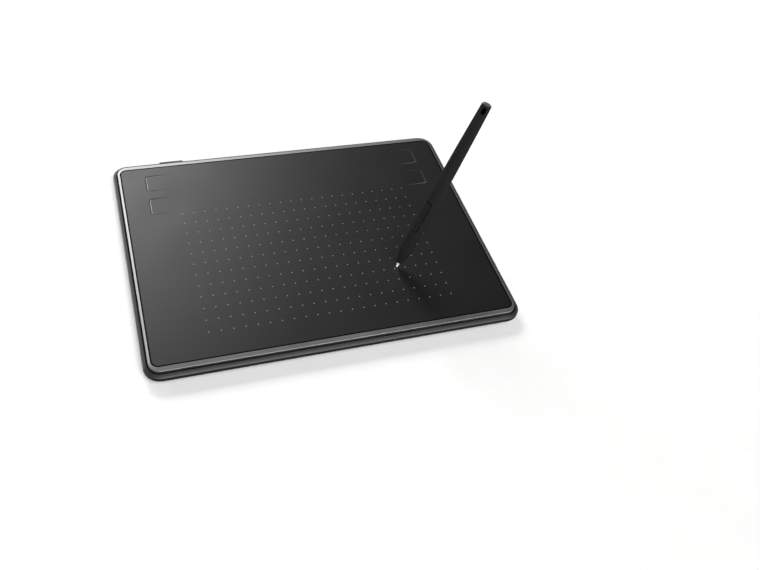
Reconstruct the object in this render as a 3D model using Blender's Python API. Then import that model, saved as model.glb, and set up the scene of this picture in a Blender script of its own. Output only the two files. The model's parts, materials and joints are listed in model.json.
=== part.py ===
"""Pen drawing tablet with its battery-free pen.

Units are metres and +Z is up. The tablet lies on its feet with its front edge towards -Y,
and the origin is on the desk below the middle of its case. The pen stands on its nib.
"""

import math

import bmesh
import bpy
from mathutils import Euler, Vector

# Clearances
GAP = 0.0003                # between pieces that touch or slide
CUT_THROUGH = 0.001         # how far a cutter passes the face that it opens

# Drawing panel and rim, seen from above
PANEL_WIDTH = 0.1781        # between the middles of the panel's side joints
PANEL_DEPTH = 0.1280
PANEL_CORNER = 0.0052
PANEL_JOINT = 0.0006        # open joint between panel and rim
PANEL_THICKNESS = 0.0008
RIM_SIDE = 0.00145          # rim width on the left and right
RIM_END = 0.0027            # rim width at the front and back
RIM_DROP = 0.0003           # fall of the rim towards its outer edge
RIM_EDGE = 0.0003           # rounding of that edge
DECK_THICKNESS = 0.0008     # top cover under the panel
SKIRT_THICKNESS = 0.0011    # top cover's wall where it stands on the tray's ledge

# Tray, seen in section
GROOVE = 0.0008             # dark groove between rim and tray
SHOULDER_SIDE = 0.0017      # tray shoulder outside the groove, left and right
SHOULDER_END = 0.0021       # tray shoulder outside the groove, front and back
SHOULDER_RISE = 0.0011      # shoulder's crown above the wall
TRAY_WALL = 0.0011          # upright wall below the shoulder
SHOULDER_BELOW_TOP = 0.0014  # shoulder's crown below the drawing surface
LEDGE_BELOW_CROWN = 0.0013  # ledge for the skirt below the shoulder's crown
LEDGE_SPARE = 0.0002        # ledge past the skirt's inner face
UNDERSIDE_INSET = 0.0030    # tray's flat underside in from its wall
UNDERSIDE_EDGE = 0.0007     # rounding of the underside's edge
TRAY_FLOOR = 0.0012
FOOT_PROUD = 0.0006         # feet below the tray

# Stack inside the case, from the tray floor up
RIB_HEIGHT = 0.0005
RIB_WIDTH = 0.0010
RIB_SPACING = 0.024
SHIELD_THICKNESS = 0.0003
BOARD_THICKNESS = 0.0010
HEADROOM = 0.0017           # sensor board to the deck above it
BOARD_CLEARANCE = 0.0012    # board to the screw seats and to the front wall

# Press keys
KEY_LENGTH = 0.0146
KEY_DEPTH = 0.0112
KEY_SLOT = 0.00045          # open slot round the three free sides of a key
KEY_CORNER = 0.0016
KEY_FROM_SIDE = 0.01245     # panel's side to the key's outer end
KEY_FROM_BACK = 0.0064      # panel's back edge to the first key
KEY_PITCH = 0.0174
KEY_STEM_RADIUS = 0.0011
KEY_STEM_FROM_END = 0.0040  # key's outer end to its stem
KEY_SHELF = 0.0030          # deck below the hinge end of a key

# Key switches
SWITCH_WIDTH = 0.0044
SWITCH_CORNER = 0.0004
SWITCH_FLOOR = 0.0003       # switch body below its well
PLUNGER_RADIUS = 0.0009
PLUNGER_PROUD = 0.0004      # plunger above the switch body
PLUNGER_SUNK = 0.0003       # plunger below the top of the switch body
PLUNGER_ROOM = 0.0004       # space below the plunger for its travel

# Chips on the sensor board
CHIP_HEIGHT = 0.0008
PROCESSOR_WIDTH = 0.0070
DRIVER_WIDTH = 0.0050
DRIVER_DEPTH = 0.0064
CHIPS_FROM_BACK = 0.0110
CHIP_PITCH = 0.0160

# Cable inlet at the back
INLET_FROM_PANEL_SIDE = 0.02795  # panel's left side to the middle of the inlet
INLET_WIDTH = 0.0075
INLET_HEIGHT = 0.0024
INLET_DEPTH = 0.0055
INLET_WALL = 0.00035
INLET_CHAMFER = 0.0007
INLET_ABOVE_FLOOR = 0.0004
INLET_SUNK = 0.0002         # inlet's mouth behind the hood's face
INLET_TONGUE_WIDTH = 0.0040
INLET_TONGUE_THICKNESS = 0.0006
INLET_TONGUE_LENGTH = 0.0042
HOOD_MARGIN = 0.0030        # hood past the inlet on each side
HOOD_PROUD = 0.0005         # hood past the tray's wall
HOOD_CORNER = 0.0012
HOOD_BELOW_CROWN = 0.0004

# Feet and case screws
FOOT_RADIUS = 0.0050
FOOT_SUNK = 0.0005
FOOT_EDGE = 0.0003
FOOT_FROM_PANEL_EDGE = 0.0140
SCREW_FROM_PANEL_EDGE = 0.0062
SCREW_HEAD_RADIUS = 0.0018
SCREW_HEAD_HEIGHT = 0.0007
SCREW_HEAD_SUNK = 0.0003
SCREW_RADIUS = 0.0008
SCREW_END_ROOM = 0.0005     # end of the screw to the end of its hole
BOSS_WALL = 0.0011          # material round a screw's hole and round its head
SEAT_THICKNESS = 0.0012     # tray material between a screw's head and the top cover's boss

# Pen, measured along its axis from the nib's point
PEN_LENGTH = 0.0970
PEN_POINT_X = 0.0384
PEN_POINT_Y = -0.0284
PEN_TILT = 20.7             # degrees away from upright
PEN_HEADING = 22.6          # degrees from +X towards +Y, the way the tail leans
PEN_ROLL = 180.0            # degrees, turns the side button to the writer's fingers
PEN_WALL = 0.00072
PEN_TAIL_DRAW_IN = 0.00088  # how much smaller the radius is at the tail
PEN_TAPER_START = 0.035
PEN_NIB_OUT = 0.0033        # nib past the nose
PEN_NIB_RADIUS = 0.0006
PEN_NIB_POINT = 0.0004      # rounding of the nib's point
PEN_NIB_POINT_FLAT = 0.0001
PEN_NIB_TAPER = 0.0014      # where the nib reaches its full radius
PEN_NIB_LENGTH = 0.0195
PEN_NOSE_TIP_RADIUS = 0.0015
PEN_NOSE_END = 0.0200
PEN_SPIGOT_LENGTH = 0.0020  # nose spigot inside the barrel
PEN_SPIGOT_WALL = 0.00025
PEN_DOME_LENGTH = 0.0012
PEN_DOME_POWER = 0.6        # 1 is an ellipse, less is squarer
PEN_DOME_FLAT = 0.0001      # radius of the flat at the very end
PEN_PLUG_LENGTH = 0.0005
NIB_TRAVEL = 0.0004

# Pieces inside the pen
FERRITE_START = 0.0085
FERRITE_LENGTH = 0.0090
FERRITE_WALL = 0.0003
COIL_WALL = 0.0002
COIL_MARGIN = 0.0008        # bare ferrite at each end of the winding
HOLDER_RADIUS = 0.0012
HOLDER_LENGTH = 0.0020
SENSOR_RADIUS = 0.0016
SENSOR_LENGTH = 0.0016
PEN_BOARD_WIDTH = 0.0034
PEN_BOARD_THICKNESS = 0.0005
PEN_BOARD_LENGTH = 0.0500
PEN_SWITCH_WIDTH = 0.0018
PEN_SWITCH_LENGTH = 0.0026
PEN_SWITCH_HEIGHT = 0.0005
PEN_SWITCH_CORNER = 0.0003
PEN_SWITCH_BUTTON = 0.0002  # button above the switch
PEN_SWITCH_BUTTON_RADIUS = 0.0004

# Side button of the pen
ROCKER_START = 0.0247
ROCKER_LENGTH = 0.0168
ROCKER_WIDTH = 0.0033
ROCKER_CORNER = 0.0007
ROCKER_PROUD = 0.0003
ROCKER_THICKNESS = 0.0008
ROCKER_PIP_RADIUS = 0.00045
ROCKER_PIP_FROM_END = 0.0036
ROCKER_TRAVEL = 0.0003      # how far each end of the button goes in

# Nib-pulling slot beside the tail
PULL_SLOT_WIDTH = 0.0014
PULL_SLOT_CORNER = 0.0005
PULL_SLOT_LENGTH = 0.0029
PULL_SLOT_BELOW_DOME = 0.0004
PULL_SLOT_TURN = 31.0       # degrees round the pen from the side button

# Fineness of round shapes
CORNER_STEPS = 7
EDGE_STEPS = 3
SHOULDER_STEPS = 4
ROUND_STEPS = 28
SMALL_ROUND_STEPS = 16
NOSE_STEPS = 8
BARREL_STEPS = 12
DOME_STEPS = 6
ROCKER_END_STEPS = 4
ROCKER_ARC_STEPS = 6
SMOOTH_ANGLE = math.radians(35.0)

# Heights worked out from the stack
TRAY_BOTTOM = FOOT_PROUD
FLOOR_TOP = TRAY_BOTTOM + TRAY_FLOOR
SHIELD_BOTTOM = FLOOR_TOP + RIB_HEIGHT + GAP
BOARD_BOTTOM = SHIELD_BOTTOM + SHIELD_THICKNESS + GAP
BOARD_TOP = BOARD_BOTTOM + BOARD_THICKNESS
DECK_BOTTOM = BOARD_TOP + HEADROOM
DECK_TOP = DECK_BOTTOM + DECK_THICKNESS
PANEL_BOTTOM = DECK_TOP + GAP
PANEL_TOP = PANEL_BOTTOM + PANEL_THICKNESS
CROWN = PANEL_TOP - SHOULDER_BELOW_TOP
WALL_TOP = CROWN - SHOULDER_RISE
WALL_BOTTOM = WALL_TOP - TRAY_WALL
LEDGE = CROWN - LEDGE_BELOW_CROWN
SKIRT_BOTTOM = LEDGE + GAP
SWITCH_BOTTOM = BOARD_TOP + GAP
WELL_BOTTOM = SWITCH_BOTTOM + SWITCH_FLOOR
SWITCH_TOP = WELL_BOTTOM + PLUNGER_ROOM + PLUNGER_SUNK
PLUNGER_TOP = SWITCH_TOP + PLUNGER_PROUD
STEM_BOTTOM = PLUNGER_TOP + GAP

# Plan sizes worked out from the panel, as pairs of half width and half depth
PANEL_HALF = Vector((PANEL_WIDTH, PANEL_DEPTH)) / 2
RIM_HALF = PANEL_HALF + Vector((RIM_SIDE, RIM_END))
LIP_HALF = RIM_HALF + Vector((GROOVE, GROOVE))
TRAY_HALF = LIP_HALF + Vector((SHOULDER_SIDE, SHOULDER_END))
SKIRT_HALF = RIM_HALF - Vector((SKIRT_THICKNESS, SKIRT_THICKNESS))
CAVITY_HALF = SKIRT_HALF - Vector((LEDGE_SPARE, LEDGE_SPARE))

# Case screws: the tray's seat, the top cover's boss and the holes in them
BOSS_RADIUS = SCREW_RADIUS + GAP + BOSS_WALL
SEAT_RADIUS = SCREW_HEAD_RADIUS + GAP + BOSS_WALL
HEAD_TOP = TRAY_BOTTOM + SCREW_HEAD_SUNK + SCREW_HEAD_HEIGHT
SEAT_BOTTOM = HEAD_TOP + GAP
SEAT_TOP = SEAT_BOTTOM + SEAT_THICKNESS
BOSS_BOTTOM = SEAT_TOP + GAP
SCREW_PLACE = PANEL_HALF - Vector((SCREW_FROM_PANEL_EDGE, SCREW_FROM_PANEL_EDGE))
FOOT_PLACE = PANEL_HALF - Vector((FOOT_FROM_PANEL_EDGE, FOOT_FROM_PANEL_EDGE))
BOARD_HALF = Vector((SCREW_PLACE.x - SEAT_RADIUS - BOARD_CLEARANCE, CAVITY_HALF.y - BOARD_CLEARANCE))

# Keys: the outer end, the hinge at the inner end and the rows
KEY_OUTER = PANEL_HALF.x - KEY_FROM_SIDE
KEY_HINGE = KEY_OUTER - KEY_LENGTH
KEY_STEM_ARM = KEY_LENGTH - KEY_STEM_FROM_END
KEY_SIDES = {"left": -1, "right": 1}
KEY_ROWS = {
    "back": PANEL_HALF.y - KEY_FROM_BACK - KEY_DEPTH / 2,
    "front": PANEL_HALF.y - KEY_FROM_BACK - KEY_DEPTH / 2 - KEY_PITCH,
}
CORNERS = {
    "front_left": (-1, -1),
    "front_right": (1, -1),
    "back_left": (-1, 1),
    "back_right": (1, 1),
}

# Cable inlet: its place, its heights and the hood round it
INLET_X = INLET_FROM_PANEL_SIDE - PANEL_HALF.x
HOOD_FACE = TRAY_HALF.y + HOOD_PROUD
INLET_MOUTH = HOOD_FACE - INLET_SUNK
INLET_BOTTOM = FLOOR_TOP + INLET_ABOVE_FLOOR
INLET_MIDDLE = INLET_BOTTOM + INLET_HEIGHT / 2
HOOD_TOP = CROWN - HOOD_BELOW_CROWN
HOOD_BOTTOM = TRAY_BOTTOM + UNDERSIDE_EDGE

# Pen radii, from the nib outwards
NIB_BORE_RADIUS = PEN_NIB_RADIUS + GAP
COIL_BORE_RADIUS = NIB_BORE_RADIUS + FERRITE_WALL + GAP
CHAMBER_RADIUS = COIL_BORE_RADIUS + COIL_WALL + GAP
PEN_SPIGOT_RADIUS = CHAMBER_RADIUS + PEN_SPIGOT_WALL
PEN_BORE_RADIUS = PEN_SPIGOT_RADIUS + GAP
PEN_GRIP_RADIUS = PEN_BORE_RADIUS + PEN_WALL

# Pen stations along its axis
PEN_DOME_START = PEN_LENGTH - PEN_DOME_LENGTH
PEN_BARREL_START = PEN_NOSE_END + GAP
PEN_BARREL_END = PEN_DOME_START - GAP
HOLDER_START = PEN_NIB_LENGTH + GAP
SENSOR_START = HOLDER_START + HOLDER_LENGTH + NIB_TRAVEL + GAP
PEN_BOARD_START = SENSOR_START + SENSOR_LENGTH + GAP
ROCKER_MIDDLE = ROCKER_START + ROCKER_LENGTH / 2
ROCKER_AXIS_RADIUS = PEN_GRIP_RADIUS - ROCKER_THICKNESS / 2
PULL_SLOT_END = PEN_BARREL_END - PULL_SLOT_BELOW_DOME
PULL_SLOT_START = PULL_SLOT_END - PULL_SLOT_LENGTH


def clear_scene():
    for old in list(bpy.data.objects):
        bpy.data.objects.remove(old, do_unlink=True)


def make_material(name, colour, roughness, metallic=0.0):
    material = bpy.data.materials.new(name)
    material.use_nodes = True
    shader = material.node_tree.nodes["Principled BSDF"]
    shader.inputs["Base Color"].default_value = (*colour, 1.0)
    shader.inputs["Roughness"].default_value = roughness
    shader.inputs["Metallic"].default_value = metallic
    return material


def add_object(name, shape, material=None, parent=None, origin=(0, 0, 0)):
    """Turn a bmesh into a named object whose own origin is at the given point."""
    bmesh.ops.translate(shape, verts=shape.verts, vec=-Vector(origin))
    mesh = bpy.data.meshes.new(name)
    shape.to_mesh(mesh)
    shape.free()
    mesh.shade_smooth()
    mesh.set_sharp_from_angle(angle=SMOOTH_ANGLE)
    if material:
        mesh.materials.append(material)
    made = bpy.data.objects.new(name, mesh)
    made.location = origin
    made.parent = parent
    bpy.context.scene.collection.objects.link(made)
    return made


def add_empty(name, location, rotation=(0, 0, 0)):
    empty = bpy.data.objects.new(name, None)
    empty.location = location
    empty.rotation_euler = rotation
    bpy.context.scene.collection.objects.link(empty)
    return empty


def combine(target, shape, operation, parent=None, origin=(0, 0, 0)):
    """Cut a shape out of an object, or join it on, with a live Boolean modifier."""
    tool = add_object(f"{target.name}_{operation.lower()}", shape, None, parent, origin)
    tool.hide_render = True
    tool.display_type = "WIRE"
    modifier = target.modifiers.new(operation.title(), "BOOLEAN")
    modifier.operation = operation
    modifier.solver = "EXACT"
    modifier.object = tool


def loft(shape, rings, closed=False):
    """Skin rings of equally many points, with flat ends unless the last ring meets the first."""
    loops = [[shape.verts.new(point) for point in ring] for ring in rings]
    pairs = list(zip(loops, loops[1:]))
    if closed:
        pairs.append((loops[-1], loops[0]))
        faces = []
    else:
        faces = [shape.faces.new(reversed(loops[0])), shape.faces.new(loops[-1])]
    for low, high in pairs:
        for i in range(len(low)):
            faces.append(shape.faces.new((low[i - 1], low[i], high[i], high[i - 1])))
    if volume_inside(faces) < 0:
        bmesh.ops.reverse_faces(shape, faces=faces)
    return shape


def volume_inside(faces):
    """Six times the volume that the faces close in, negative if they point inwards."""
    total = 0.0
    for face in faces:
        first, *rest = [vert.co for vert in face.verts]
        total += sum(first.dot(a.cross(b)) for a, b in zip(rest, rest[1:]))
    return total


def circle(radius, height, steps, centre=(0, 0)):
    turns = [2 * math.pi * i / steps for i in range(steps)]
    middle = Vector((centre[0], centre[1], height))
    return [middle + radius * Vector((math.cos(turn), math.sin(turn), 0)) for turn in turns]


def turned(profile, steps=ROUND_STEPS, closed=False):
    """Solid of revolution about Z from (radius, height) pairs, or a ring if the profile is closed."""
    return loft(bmesh.new(), [circle(radius, height, steps) for radius, height in profile], closed)


def rod(shape, centre, radius, low, high, steps=SMALL_ROUND_STEPS):
    """Add an upright cylinder to a bmesh."""
    return loft(shape, [circle(radius, z, steps, centre) for z in (low, high)])


def block(shape, low, high, bottom, top):
    """Add a box to a bmesh, from two plan corners and two heights."""
    corners = [(low[0], low[1]), (high[0], low[1]), (high[0], high[1]), (low[0], high[1])]
    return loft(shape, [[(x, y, z) for x, y in corners] for z in (bottom, top)])


def rounded_ring(half, radius, height, centre=(0, 0)):
    """Rounded rectangle of the given half sizes, as points at one height."""
    points = []
    for quarter, (sx, sy) in enumerate([(1, 1), (-1, 1), (-1, -1), (1, -1)]):
        for step in range(CORNER_STEPS + 1):
            turn = math.pi / 2 * (quarter + step / CORNER_STEPS)
            x = centre[0] + sx * (half[0] - radius) + radius * math.cos(turn)
            y = centre[1] + sy * (half[1] - radius) + radius * math.sin(turn)
            points.append(Vector((x, y, height)))
    return points


def quarter_round(radius):
    """Steps across and up of a rounded edge, from its side to its top."""
    turns = [math.pi / 2 * i / EDGE_STEPS for i in range(EDGE_STEPS + 1)]
    return [(radius * (1 - math.cos(turn)), radius * math.sin(turn)) for turn in turns]


def case_ring(half, height):
    """Ring of the case's plan, with corners that stay about concentric with the panel's."""
    grown = half - PANEL_HALF
    return rounded_ring(half, PANEL_CORNER + (grown.x + grown.y) / 2, height)


def key_ring(inner, grow, height, side, row_y):
    """Key outline from a distance off the middle to its outer end, grown on its three free sides."""
    outer = KEY_OUTER + grow
    half = ((outer - inner) / 2, KEY_DEPTH / 2 + grow)
    return rounded_ring(half, KEY_CORNER + grow, height, (side * (inner + outer) / 2, row_y))


def key_openings(shape, inner, low, high):
    """Add the openings round the four keys to a cutter, through the given heights."""
    for side in KEY_SIDES.values():
        for row_y in KEY_ROWS.values():
            loft(shape, [key_ring(inner, KEY_SLOT, z, side, row_y) for z in (low, high)])
    return shape


def make_top_cover():
    """Rim, the deck below the drawing panel and the skirt that stands on the tray."""
    joint = Vector((PANEL_JOINT, PANEL_JOINT)) / 2
    rim_low = PANEL_TOP - RIM_DROP
    rings = [
        case_ring(SKIRT_HALF, DECK_BOTTOM),
        case_ring(SKIRT_HALF, SKIRT_BOTTOM),
        case_ring(RIM_HALF, SKIRT_BOTTOM),
    ]
    for across, up in quarter_round(RIM_EDGE):
        rings.append(case_ring(RIM_HALF - Vector((across, across)), rim_low - RIM_EDGE + up))
    rings.append(case_ring(PANEL_HALF + joint, PANEL_TOP))
    rings.append(case_ring(PANEL_HALF + joint, DECK_TOP))
    material = make_material("rim_plastic", (0.075, 0.076, 0.080), 0.38)
    cover = add_object("top_cover", loft(bmesh.new(), rings), material)
    bosses = bmesh.new()
    holes = key_openings(bmesh.new(), KEY_HINGE + KEY_SHELF, DECK_BOTTOM - CUT_THROUGH, PANEL_BOTTOM)
    for sx, sy in CORNERS.values():
        place = (sx * SCREW_PLACE.x, sy * SCREW_PLACE.y)
        rod(bosses, place, BOSS_RADIUS, BOSS_BOTTOM, (DECK_BOTTOM + DECK_TOP) / 2)
        rod(holes, place, SCREW_RADIUS + GAP, BOSS_BOTTOM - CUT_THROUGH, DECK_BOTTOM)
    combine(cover, bosses, "UNION")
    combine(cover, holes, "DIFFERENCE")


def make_drawing_panel():
    """Thin working sheet that lies in the rim, open where the keys are."""
    half = PANEL_HALF - Vector((PANEL_JOINT, PANEL_JOINT)) / 2
    rings = [case_ring(half, PANEL_BOTTOM), case_ring(half, PANEL_TOP)]
    material = make_material("panel_film", (0.030, 0.030, 0.032), 0.42)
    panel = add_object("drawing_panel", loft(bmesh.new(), rings), material)
    low = PANEL_BOTTOM - CUT_THROUGH
    high = PANEL_TOP + CUT_THROUGH
    combine(panel, key_openings(bmesh.new(), KEY_HINGE - GAP, low, high), "DIFFERENCE")


def make_keys():
    """Press keys, each turning about a line across its inner end, with a stem over its switch."""
    material = make_material("key_film", (0.030, 0.030, 0.032), 0.42)
    hinge_height = (PANEL_BOTTOM + PANEL_TOP) / 2
    for side_name, side in KEY_SIDES.items():
        for row_name, row_y in KEY_ROWS.items():
            rings = [key_ring(KEY_HINGE, 0, z, side, row_y) for z in (PANEL_BOTTOM, PANEL_TOP)]
            name = f"key_{side_name}_{row_name}"
            hinge = (side * KEY_HINGE, row_y, hinge_height)
            key = add_object(name, loft(bmesh.new(), rings), material, None, hinge)
            stem_place = (side * (KEY_HINGE + KEY_STEM_ARM), row_y)
            stem = rod(bmesh.new(), stem_place, KEY_STEM_RADIUS, STEM_BOTTOM, hinge_height)
            combine(key, stem, "UNION", None, hinge)


def make_bottom_cover():
    """Tray with a rounded shoulder, ledge, ribs, screw seats, foot recesses and the inlet's hood."""
    rings = []
    for across, up in reversed(quarter_round(UNDERSIDE_EDGE)):
        inset = UNDERSIDE_INSET + across
        rings.append(case_ring(TRAY_HALF - Vector((inset, inset)), TRAY_BOTTOM + UNDERSIDE_EDGE - up))
    rings.append(case_ring(TRAY_HALF, WALL_BOTTOM))
    shoulder = TRAY_HALF - LIP_HALF
    for step in range(SHOULDER_STEPS + 1):
        turn = math.pi / 2 * step / SHOULDER_STEPS
        half = TRAY_HALF - shoulder * (1 - math.cos(turn))
        rings.append(case_ring(half, WALL_TOP + SHOULDER_RISE * math.sin(turn)))
    rings.append(case_ring(LIP_HALF, LEDGE))
    rings.append(case_ring(CAVITY_HALF, LEDGE))
    rings.append(case_ring(CAVITY_HALF, FLOOR_TOP))
    material = make_material("tray_plastic", (0.028, 0.028, 0.030), 0.45)
    tray = add_object("bottom_cover", loft(bmesh.new(), rings), material)
    combine(tray, tray_additions(), "UNION")
    combine(tray, tray_cuts(), "DIFFERENCE")


def tray_additions():
    """Ribs below the shield plate, screw seats and the hood over the inlet."""
    shape = bmesh.new()
    root = (TRAY_BOTTOM + FLOOR_TOP) / 2
    rib_count = int(2 * (FOOT_PLACE.x - FOOT_RADIUS) / RIB_SPACING)
    rib_half = Vector((RIB_WIDTH / 2, FOOT_PLACE.y))
    for i in range(rib_count + 1):
        middle = Vector(((i - rib_count / 2) * RIB_SPACING, 0))
        block(shape, middle - rib_half, middle + rib_half, root, FLOOR_TOP + RIB_HEIGHT)
    for sx, sy in CORNERS.values():
        rod(shape, (sx * SCREW_PLACE.x, sy * SCREW_PLACE.y), SEAT_RADIUS, root, SEAT_TOP)
    half = (INLET_WIDTH / 2 + HOOD_MARGIN, (HOOD_TOP - HOOD_BOTTOM) / 2)
    outline = rounded_ring(half, HOOD_CORNER, 0, (INLET_X, (HOOD_TOP + HOOD_BOTTOM) / 2))
    loft(shape, [[(p.x, y, p.y) for p in outline] for y in (LIP_HALF.y + GAP, HOOD_FACE)])
    return shape


def inlet_outline(grow):
    """Cable inlet seen from behind: flat top, lower corners cut off."""
    half_width = INLET_WIDTH / 2 + grow
    half_height = INLET_HEIGHT / 2 + grow
    cut = INLET_CHAMFER
    return [
        (-half_width, half_height),
        (-half_width, cut - half_height),
        (cut - half_width, -half_height),
        (half_width - cut, -half_height),
        (half_width, cut - half_height),
        (half_width, half_height),
    ]


def inlet_ring(grow, y):
    return [Vector((INLET_X + x, y, INLET_MIDDLE + z)) for x, z in inlet_outline(grow)]


def tray_cuts():
    """Screw holes, foot recesses and the inlet's opening through the back wall."""
    shape = bmesh.new()
    below = TRAY_BOTTOM - CUT_THROUGH
    for sx, sy in CORNERS.values():
        place = (sx * SCREW_PLACE.x, sy * SCREW_PLACE.y)
        head = SCREW_HEAD_RADIUS + GAP
        hole = SCREW_RADIUS + GAP
        profile = [(head, below), (head, SEAT_BOTTOM), (hole, SEAT_BOTTOM), (hole, SEAT_TOP + CUT_THROUGH)]
        loft(shape, [circle(radius, z, SMALL_ROUND_STEPS, place) for radius, z in profile])
        foot_place = (sx * FOOT_PLACE.x, sy * FOOT_PLACE.y)
        rod(shape, foot_place, FOOT_RADIUS + GAP, below, TRAY_BOTTOM + FOOT_SUNK, ROUND_STEPS)
    ends = (CAVITY_HALF.y - CUT_THROUGH, HOOD_FACE + CUT_THROUGH)
    loft(shape, [inlet_ring(GAP, y) for y in ends])
    return shape


def make_feet():
    material = make_material("foot_rubber", (0.022, 0.022, 0.022), 0.85)
    top = TRAY_BOTTOM + FOOT_SUNK - GAP
    for name, (sx, sy) in CORNERS.items():
        centre = (sx * FOOT_PLACE.x, sy * FOOT_PLACE.y, 0)
        profile = [(FOOT_RADIUS - FOOT_EDGE, 0), (FOOT_RADIUS, FOOT_EDGE), (FOOT_RADIUS, top)]
        foot = add_object(f"foot_{name}", turned(profile), material)
        foot.location = centre


def make_case_screws():
    """Screws from below, through the tray's seats into the top cover's bosses."""
    material = make_material("screw_steel", (0.10, 0.10, 0.10), 0.35, 1.0)
    head_bottom = TRAY_BOTTOM + SCREW_HEAD_SUNK
    end = DECK_BOTTOM - SCREW_END_ROOM
    profile = [
        (SCREW_HEAD_RADIUS, head_bottom),
        (SCREW_HEAD_RADIUS, HEAD_TOP),
        (SCREW_RADIUS, HEAD_TOP),
        (SCREW_RADIUS, end),
    ]
    for name, (sx, sy) in CORNERS.items():
        screw = add_object(f"case_screw_{name}", turned(profile, SMALL_ROUND_STEPS), material)
        screw.location = (sx * SCREW_PLACE.x, sy * SCREW_PLACE.y, 0)


def make_boards():
    """Sensor board over its shield plate, with the controller's chips."""
    green = make_material("board_green", (0.02, 0.10, 0.05), 0.5)
    steel = make_material("shield_steel", (0.55, 0.55, 0.55), 0.35, 1.0)
    black = make_material("chip_black", (0.015, 0.015, 0.015), 0.5)
    board_back = min(BOARD_HALF.y, INLET_MOUTH - INLET_DEPTH - GAP)
    low = (-BOARD_HALF.x, -BOARD_HALF.y)
    high = (BOARD_HALF.x, board_back)
    add_object("sensor_board", block(bmesh.new(), low, high, BOARD_BOTTOM, BOARD_TOP), green)
    shield = block(bmesh.new(), low, high, SHIELD_BOTTOM, SHIELD_BOTTOM + SHIELD_THICKNESS)
    add_object("shield_plate", shield, steel)
    chip_y = board_back - CHIPS_FROM_BACK
    chips = {
        "driver_chip_left": (-CHIP_PITCH, DRIVER_WIDTH, DRIVER_DEPTH),
        "processor_chip": (0, PROCESSOR_WIDTH, PROCESSOR_WIDTH),
        "driver_chip_right": (CHIP_PITCH, DRIVER_WIDTH, DRIVER_DEPTH),
    }
    for name, (x, width, depth) in chips.items():
        chip_low = (x - width / 2, chip_y - depth / 2)
        chip_high = (x + width / 2, chip_y + depth / 2)
        chip = block(bmesh.new(), chip_low, chip_high, BOARD_TOP + GAP, BOARD_TOP + GAP + CHIP_HEIGHT)
        add_object(name, chip, black)


def switch_places():
    for side_name, side in KEY_SIDES.items():
        for row_name, row_y in KEY_ROWS.items():
            yield f"{side_name}_{row_name}", (side * (KEY_HINGE + KEY_STEM_ARM), row_y)


def make_switches():
    """Key switches: a body on the board, and a plunger in it that the key's stem pushes down."""
    steel = make_material("switch_steel", (0.6, 0.6, 0.6), 0.35, 1.0)
    plastic = make_material("plunger_plastic", (0.05, 0.05, 0.05), 0.5)
    half = (SWITCH_WIDTH / 2, SWITCH_WIDTH / 2)
    well = PLUNGER_RADIUS + GAP
    for name, place in switch_places():
        rings = [rounded_ring(half, SWITCH_CORNER, z, place) for z in (SWITCH_BOTTOM, SWITCH_TOP)]
        rings += [circle(well, z, len(rings[0]), place) for z in (SWITCH_TOP, WELL_BOTTOM)]
        add_object(f"switch_body_{name}", loft(bmesh.new(), rings), steel)
        plunger = rod(bmesh.new(), (0, 0), PLUNGER_RADIUS, -PLUNGER_SUNK, PLUNGER_PROUD)
        made = add_object(f"switch_plunger_{name}", plunger, plastic)
        made.location = (*place, SWITCH_TOP)


def make_inlet():
    """Cable inlet: a folded metal shell with a contact tongue inside."""
    steel = make_material("inlet_steel", (0.62, 0.62, 0.62), 0.3, 1.0)
    black = make_material("inlet_tongue_black", (0.02, 0.02, 0.02), 0.5)
    back = INLET_MOUTH - INLET_DEPTH
    inside = back + INLET_WALL
    rings = [
        inlet_ring(0, back),
        inlet_ring(0, INLET_MOUTH),
        inlet_ring(-INLET_WALL, INLET_MOUTH),
        inlet_ring(-INLET_WALL, inside),
    ]
    add_object("usb_shell", loft(bmesh.new(), rings), steel)
    low = (INLET_X - INLET_TONGUE_WIDTH / 2, inside + GAP)
    high = (INLET_X + INLET_TONGUE_WIDTH / 2, inside + GAP + INLET_TONGUE_LENGTH)
    tongue = block(bmesh.new(), low, high, INLET_MIDDLE, INLET_MIDDLE + INLET_TONGUE_THICKNESS)
    add_object("usb_tongue", tongue, black)


def barrel_radius(station):
    """Outer radius of the pen behind its nose, drawing in towards the tail."""
    along = max(0.0, (station - PEN_TAPER_START) / (PEN_LENGTH - PEN_TAPER_START))
    return PEN_GRIP_RADIUS - PEN_TAIL_DRAW_IN * along ** 2


def nose_radius(station):
    """Outer radius of the blunt nose."""
    along = (station - PEN_NIB_OUT) / (PEN_NOSE_END - PEN_NIB_OUT)
    return PEN_NOSE_TIP_RADIUS + (PEN_GRIP_RADIUS - PEN_NOSE_TIP_RADIUS) * (1 - (1 - along) ** 3)


def stations(start, end, count):
    return [start + (end - start) * i / count for i in range(count + 1)]


def make_pen_nose(pen):
    """Blunt nose with the nib's hole, a chamber for the ferrite and a spigot into the barrel."""
    material = make_material("pen_nose_plastic", (0.018, 0.018, 0.019), 0.42)
    chamber = FERRITE_START - GAP
    spigot_end = PEN_NOSE_END + PEN_SPIGOT_LENGTH
    profile = [(nose_radius(z), z) for z in stations(PEN_NIB_OUT, PEN_NOSE_END, NOSE_STEPS)]
    profile += [
        (PEN_SPIGOT_RADIUS, PEN_NOSE_END),
        (PEN_SPIGOT_RADIUS, spigot_end),
        (CHAMBER_RADIUS, spigot_end),
        (CHAMBER_RADIUS, chamber),
        (NIB_BORE_RADIUS, chamber),
        (NIB_BORE_RADIUS, PEN_NIB_OUT),
    ]
    add_object("pen_nose", turned(profile, closed=True), material, pen)


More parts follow.
